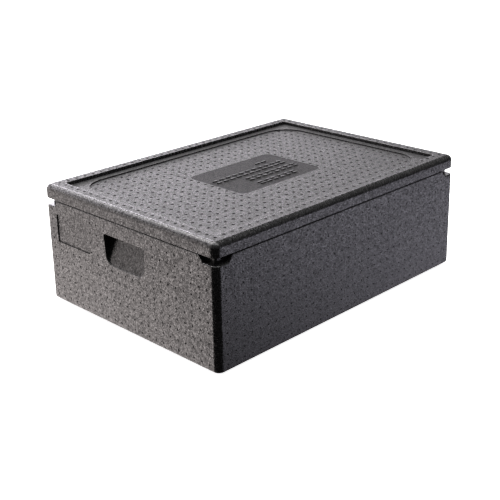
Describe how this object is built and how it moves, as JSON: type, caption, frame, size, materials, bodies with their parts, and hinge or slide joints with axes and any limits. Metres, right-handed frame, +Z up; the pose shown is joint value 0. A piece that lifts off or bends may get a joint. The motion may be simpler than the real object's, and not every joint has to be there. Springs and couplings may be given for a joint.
{
  "type": "insulated food carrier",
  "caption": "Rectangular black bead-foam insulated food carrier: open-top box with end grips and corner finger notches, closed by a lift-off stacking lid.",
  "frame": {"origin": "on the ground under the middle of the box", "axes": "+X along the long side, +Y along the short side, +Z up"},
  "size_m": [0.685, 0.485, 0.245],
  "materials": {
    "body_foam": "fine bead texture, semi-matt",
    "lid_foam": "fine bead texture, semi-matt"
  },
  "bodies": {
    "body": {"box_body": "body_foam"},
    "lid": {"lid": "lid_foam"}
  },
  "joints": [
    {"name": "lid_lift", "type": "slide", "parent": "body", "child": "lid", "axis": [0, 0, 1], "range_m": [0, 0.25]}
  ]
}
